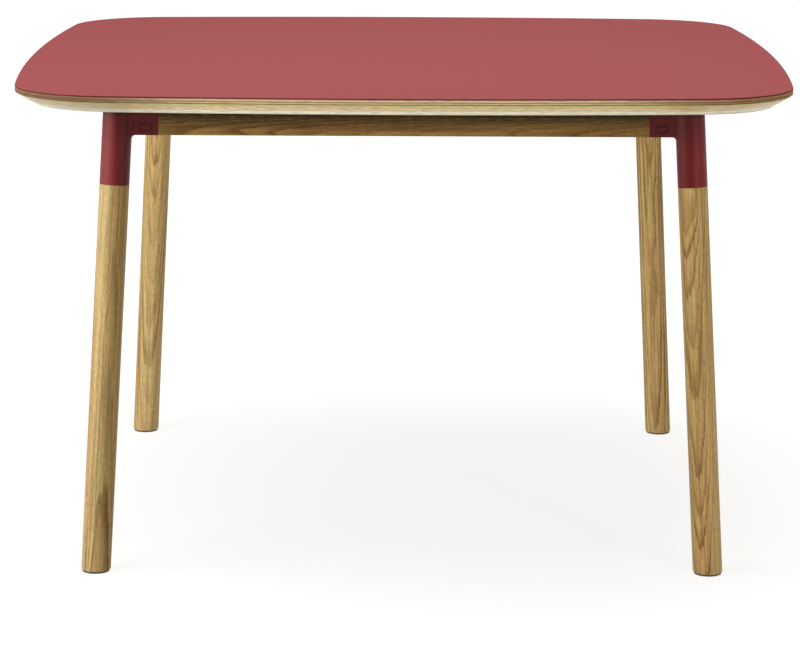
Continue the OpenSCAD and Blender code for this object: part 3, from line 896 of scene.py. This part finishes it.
def sleeve_and_arm(along, across, z, sleeve, normal_across, normal_up):
    """Distance to the sleeve with one arm, whose fillet is smaller on its underside."""
    side = np.abs(across) - RAIL_T / 2
    below = -z - RAIL_H
    arm = both(both(side, below, EDGE_R), -along)
    q_side = np.maximum(side + EDGE_R, 0)
    q_below = np.maximum(below + EDGE_R, 0)
    size = np.maximum(length(q_side, q_below), TINY)
    flat = (q_side <= 0) & (q_below <= 0)
    face_side = np.where(flat, side > below, q_side / size) * np.sign(across)
    face_down = np.where(flat, side <= below, q_below / size)
    cos = np.clip(face_side * normal_across - face_down * normal_up, *BLEND_COS)
    radius = ARM_BLEND_R - (ARM_BLEND_R - ARM_UNDER_R) * face_down * face_down
    return both(blended(arm, sleeve, cos, radius), along - ARM_LEN, ARM_EASE)


def plate_distance(x, y, z):
    """Distance to the plate under the top, which fills the corner between the arms."""
    front = (x + y - ARM_LEN - PLATE_EDGE) / math.sqrt(2)
    plate = both(np.maximum(x, y) - ARM_LEN, front, PLATE_CORNER_R)
    plate = both(plate, -PLATE_T - z, PLATE_EASE)
    return np.maximum(plate, RAIL_T / 2 - INNER_WALL / 2 - np.minimum(x, y))


def sleeve_cuts(s, radial):
    """Distances to the spigot's bore, the leg insert's hole and the relief above it."""
    return [
        both(radial - SPIGOT_R - FIT, s - BORE_END),
        both(radial - LEG_INSERT_R, s - BORE_END - LEG_INSERT_LEN),
        both(radial - RELIEF_R, SLEEVE_BASE + SLEEVE_LEN - RELIEF_DEPTH - s),
    ]


def screw_cuts(x, y):
    """Distances to the plate's three screw holes."""
    near = RAIL_T / 2 + SCREW_ROOM
    far = ARM_LEN - SCREW_ROOM
    diagonal = (LEG_R + SCREW_ROOM) / math.sqrt(2) + SLOPE * RAIL_H / 2
    places = ((far, near), (near, far), (diagonal, diagonal))
    return [length(x - u, y - v) - SCREW_HOLE_R for u, v in places]


def arm_cuts(along, across, z):
    """Distances to the rail's socket in an arm, and the cap's pocket, the window behind it and the rail
    insert's hole."""
    socket_z = np.maximum(-z - RAIL_H + SOCKET_WALL, z + SOCKET_WALL)
    socket_side = np.maximum(OUTER_WALL - RAIL_T / 2 - across, across - RAIL_T / 2 + INNER_WALL)
    socket = np.maximum(np.maximum(socket_side, socket_z), ARM_LEN - SOCKET_DEPTH - along)
    u, w = along - CAP_U, z - CAP_Z
    pocket = oblong_distance(u, w, CAP_L + 2 * CAP_GROOVE, CAP_H + 2 * CAP_GROOVE)
    window = oblong_distance(u, w, CAP_L - 2 * CAP_LEDGE, CAP_H - 2 * CAP_LEDGE)
    return [
        socket,
        both(pocket, across + RAIL_T / 2 - CAP_T - CAP_RECESS),
        both(window, across),
        both(length(u, w) - RAIL_INSERT_R, -across),
    ]


def bracket_distance(p):
    """Signed distance to the bracket in its own frame: arms along X and Y, the top's underside at z = 0."""
    x, y, z = p[..., 0], p[..., 1], p[..., 2]
    s, radial, normal = from_leg_axis(p)
    sleeve = both(radial - LEG_R, SLEEVE_BASE - s, SLEEVE_EASE)
    solid = np.minimum(sleeve, sleeve_and_arm(x, y, z, sleeve, normal[..., 1], normal[..., 2]))
    solid = np.minimum(solid, sleeve_and_arm(y, x, z, sleeve, normal[..., 0], normal[..., 2]))
    solid = blended(solid, plate_distance(x, y, z), 0.0, PLATE_BLEND_R)
    solid = both(solid, z, UPPER_EASE)
    for cut in sleeve_cuts(s, radial) + screw_cuts(x, y) + arm_cuts(x, y, z) + arm_cuts(y, x, z):
        solid = np.maximum(solid, -cut)
    return solid


# Contouring

def gradient(distance, points, step=0.01 * MM):
    """Unit normals of a distance function at points."""
    g = np.empty(points.shape)
    for k in range(3):
        d = np.zeros(3)
        d[k] = step
        g[..., k] = distance(points + d) - distance(points - d)
    return g / np.maximum(np.linalg.norm(g, axis=-1, keepdims=True), TINY)


def crossings(distance, grid, inside, axis):
    """Grid edges along an axis that pass through the surface: where they start, whether that is inside,
    and the places and normals where they pass through."""
    step = np.eye(3, dtype=int)[axis]
    low = tuple(slice(0, -1) if k == axis else slice(1, -1) for k in range(3))
    high = tuple(slice(1, None) if k == axis else slice(1, -1) for k in range(3))
    starts = np.argwhere(inside[low] != inside[high]) + (1 - step)
    a = grid[tuple(starts.T)]
    b = grid[tuple((starts + step).T)]
    a_in = inside[tuple(starts.T)]
    for _ in range(BISECTIONS):
        middle = (a + b) / 2
        same = (distance(middle) < 0) == a_in
        a = np.where(same[:, None], middle, a)
        b = np.where(same[:, None], b, middle)
    point = (a + b) / 2
    return starts, a_in, point, gradient(distance, point)


def contour(distance, xs, ys, zs):
    """Vertices and quads where a distance function changes sign on a grid, by dual contouring: each cell's
    vertex lies where the planes through its crossings meet, so that edges and corners come out sharp."""
    grid = np.stack(np.meshgrid(xs, ys, zs, indexing="ij"), axis=-1)
    inside = distance(grid) < 0
    cells = (len(xs) - 1, len(ys) - 1, len(zs) - 1)
    total = math.prod(cells)
    count, point_sum = np.zeros(total), np.zeros((total, 3))
    square_sum, offset_sum = np.zeros((total, 3, 3)), np.zeros((total, 3))
    quads = []
    for axis in range(3):
        starts, a_in, point, normal = crossings(distance, grid, inside, axis)
        offset = (normal * point).sum(1)
        other = [k for k in range(3) if k != axis]
        around = []
        for shift in ((-1, -1), (0, -1), (0, 0), (-1, 0)):
            cell = starts.copy()
            cell[:, other] += shift
            flat = np.ravel_multi_index(cell.T, cells)
            around.append(flat)
            np.add.at(count, flat, 1)
            np.add.at(point_sum, flat, point)
            np.add.at(square_sum, flat, normal[:, :, None] * normal[:, None, :])
            np.add.at(offset_sum, flat, normal * offset[:, None])
        quad = np.stack(around, 1)
        flip = a_in if axis == 1 else ~a_in
        quad[flip] = quad[flip][:, ::-1]
        quads.append(quad)

    used = np.flatnonzero(count)
    number = np.full(total, -1)
    number[used] = np.arange(len(used))
    n = count[used][:, None]
    middle = point_sum[used] / n
    steady = square_sum[used] + STEADY * n[:, :, None] * np.eye(3)
    rest = offset_sum[used] - np.einsum("nij,nj->ni", square_sum[used], middle)
    verts = middle + np.linalg.solve(steady, rest[:, :, None])[:, :, 0]
    i, j, k = np.unravel_index(used, cells)
    low = np.stack([xs[i], ys[j], zs[k]], 1)
    high = np.stack([xs[i + 1], ys[j + 1], zs[k + 1]], 1)
    return np.clip(verts, low, high), number[np.concatenate(quads)]


def grid_lines(stops, end):
    """Places of grid lines from the first stop to the end."""
    lines = []
    ends = [place for place, _ in stops[1:]] + [end]
    for (start, spacing), stop in zip(stops, ends):
        count = round((stop - start) / spacing)
        lines += list(np.linspace(start, stop, count, endpoint=False))
    return np.array(lines + [end])


# Corner brackets and caps

def make_brackets(look):
    """Four brackets of one form. Each face's corners take their normals a little way into the face, so
    that they belong to its side of an edge."""
    across = grid_lines(GRID_ACROSS, GRID_ACROSS_END)
    verts, quads = contour(bracket_distance, across, across, grid_lines(GRID_UP, GRID_UP_END))
    centres = verts[quads].mean(1)
    nudged = verts[quads] * (1 - NUDGE) + centres[:, None, :] * NUDGE
    normals = gradient(bracket_distance, nudged.reshape(-1, 3), NORMAL_STEP)
    for k, corner in enumerate(CORNERS):
        bracket = f"bracket_{corner}"
        piece = make_piece(
            f"moulded_{bracket}", verts, quads, "bracket_plastic", look[bracket], [bracket],
            bracket_matrix(k), sharp=0,
        )
        piece.data.normals_split_custom_set([tuple(n) for n in normals])


def oblong_ring(trim, y, steps=14):
    """The cap's outline at a depth, with its length and height cut by a trim."""
    half_h = (CAP_H - trim) / 2
    middle = (CAP_L - CAP_H) / 2
    points = []
    for side, start in ((1, -90), (-1, 90)):
        for i in range(steps + 1):
            a = math.radians(start + 180 * i / steps)
            points.append((CAP_U + side * middle + half_h * math.cos(a), y, CAP_Z + half_h * math.sin(a)))
    return points


def make_caps(look):
    """Oblong caps, each in its pocket in an arm's outer face, with a rounded rim."""
    face = CAP_RECESS - RAIL_T / 2
    back = face + CAP_T
    rings = [oblong_ring(2 * CAP_BACK_EASE, back), oblong_ring(0, back - CAP_BACK_EASE)]
    for a in quarter_turn(4):
        rings.append(oblong_ring(2 * CAP_EASE * (1 - math.cos(a)), face + CAP_EASE * (1 - math.sin(a))))
    rings += [oblong_ring(trim, face) for trim in CAP_FACE_TRIMS]
    verts, faces = loft(rings)
    along_x = verts, faces
    along_y = [(y, x, z) for x, y, z in verts], [corners[::-1] for corners in faces]
    for k, corner in enumerate(CORNERS):
        for side, cap in ((SIDES[k], along_x), (SIDES[(k + 3) % 4], along_y)):
            make_piece(
                f"screw_cap_{corner}_{side}", *cap, "bracket_plastic", look[f"bracket_{corner}"],
                [f"cap_{corner}_{side}"], bracket_matrix(k), sharp=50,
            )


# Legs and glides

def circle(r, z, steps=128):
    turn = [2 * math.pi * i / steps for i in range(steps)]
    return [(r * math.cos(a), r * math.sin(a), z) for a in turn]


def level_ring(r, z):
    """Ring in the plane at height z over the floor, in the leg's own leaning frame."""
    return [(x, y, (z + x * math.sin(LEAN)) / math.cos(LEAN)) for x, y, _ in circle(r, 0)]


def make_legs(look):
    """Round legs, cut level at the rounded foot, with a spigot above the shoulder."""
    rings = [level_ring(r, GLIDE_T) for r in (MIDDLE_R, LEG_R - 2 * FOOT_ROUND)]
    for a in quarter_turn(6):
        r = LEG_R - FOOT_ROUND * (1 - math.sin(a))
        rings.append(level_ring(r, GLIDE_T + FOOT_ROUND * (1 - math.cos(a))))
    rings.append(level_ring(LEG_R, GLIDE_T + LEVEL_RING))
    heights = np.linspace(SQUARE_FROM, SHOULDER - SHOULDER_CHAMFER, SQUARE_RINGS)
    rings += [circle(LEG_R, s) for s in heights]
    rings += [circle(r, SHOULDER) for r in (LEG_R - SHOULDER_CHAMFER, SPIGOT_R + BESIDE_SPIGOT, SPIGOT_R)]
    top = BORE_END - END_GAP
    rings += [circle(SPIGOT_R, s) for s in (SHOULDER + ABOVE_SHOULDER, top - SPIGOT_CHAMFER)]
    rings += [circle(r, top) for r in (SPIGOT_R - SPIGOT_CHAMFER, BOLT_HOLE_R)]
    verts, faces = loft(rings)
    for k, corner in enumerate(CORNERS):
        leg = f"leg_{corner}"
        make_piece(f"turned_{leg}", verts, faces, "oak", look[leg], [leg], leg_matrix(k))


def make_glides(look):
    """Round glides with a rounded lower edge."""
    profile = [(MIDDLE_R, 0), (GLIDE_R - 3 * GLIDE_EASE, 0)]
    for a in quarter_turn(5):
        profile.append((GLIDE_R - GLIDE_EASE * (1 - math.sin(a)), GLIDE_EASE * (1 - math.cos(a))))
    profile += [(GLIDE_R, GLIDE_T - GLIDE_UPPER_EASE), (GLIDE_R - GLIDE_UPPER_EASE, GLIDE_T)]
    profile.append((MIDDLE_R, GLIDE_T))
    verts, faces = loft([circle(r, z, steps=96) for r, z in profile])
    for k, corner in enumerate(CORNERS):
        glide = f"glide_{corner}"
        make_piece(
            f"foot_{glide}", verts, faces, "glide_plastic", look["glide_plastic"], [glide], corner_matrix(k),
        )


def dress_node(name, look):
    """Gives a node of the CAD frame, which stays as it is, its material."""
    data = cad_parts[name].data
    data.materials.clear()
    data.materials.append(look)


bpy.context.scene.view_settings.view_transform = "Standard"
make_camera()
make_floor()
make_world()
make_lights()
looks = make_looks()
make_surface(looks)
make_panel(looks)
make_backing(looks)
make_brackets(looks)
make_caps(looks)
make_legs(looks)
make_glides(looks)
for rail_side in SIDES:
    dress_node(f"rail_{rail_side}", looks[f"rail_{rail_side}"])
for steel_node in ("rail_screws", "leg_bolts", "top_screws", "glide_nails"):
    dress_node(steel_node, looks["steel"])
for brass_node in ("rail_inserts", "leg_inserts", "top_inserts"):
    dress_node(brass_node, looks["brass"])

boxes = {"cad": CAD_BOUNDS, "visual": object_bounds()}
{key: [list(corner) for corner in box] for key, box in boxes.items()}
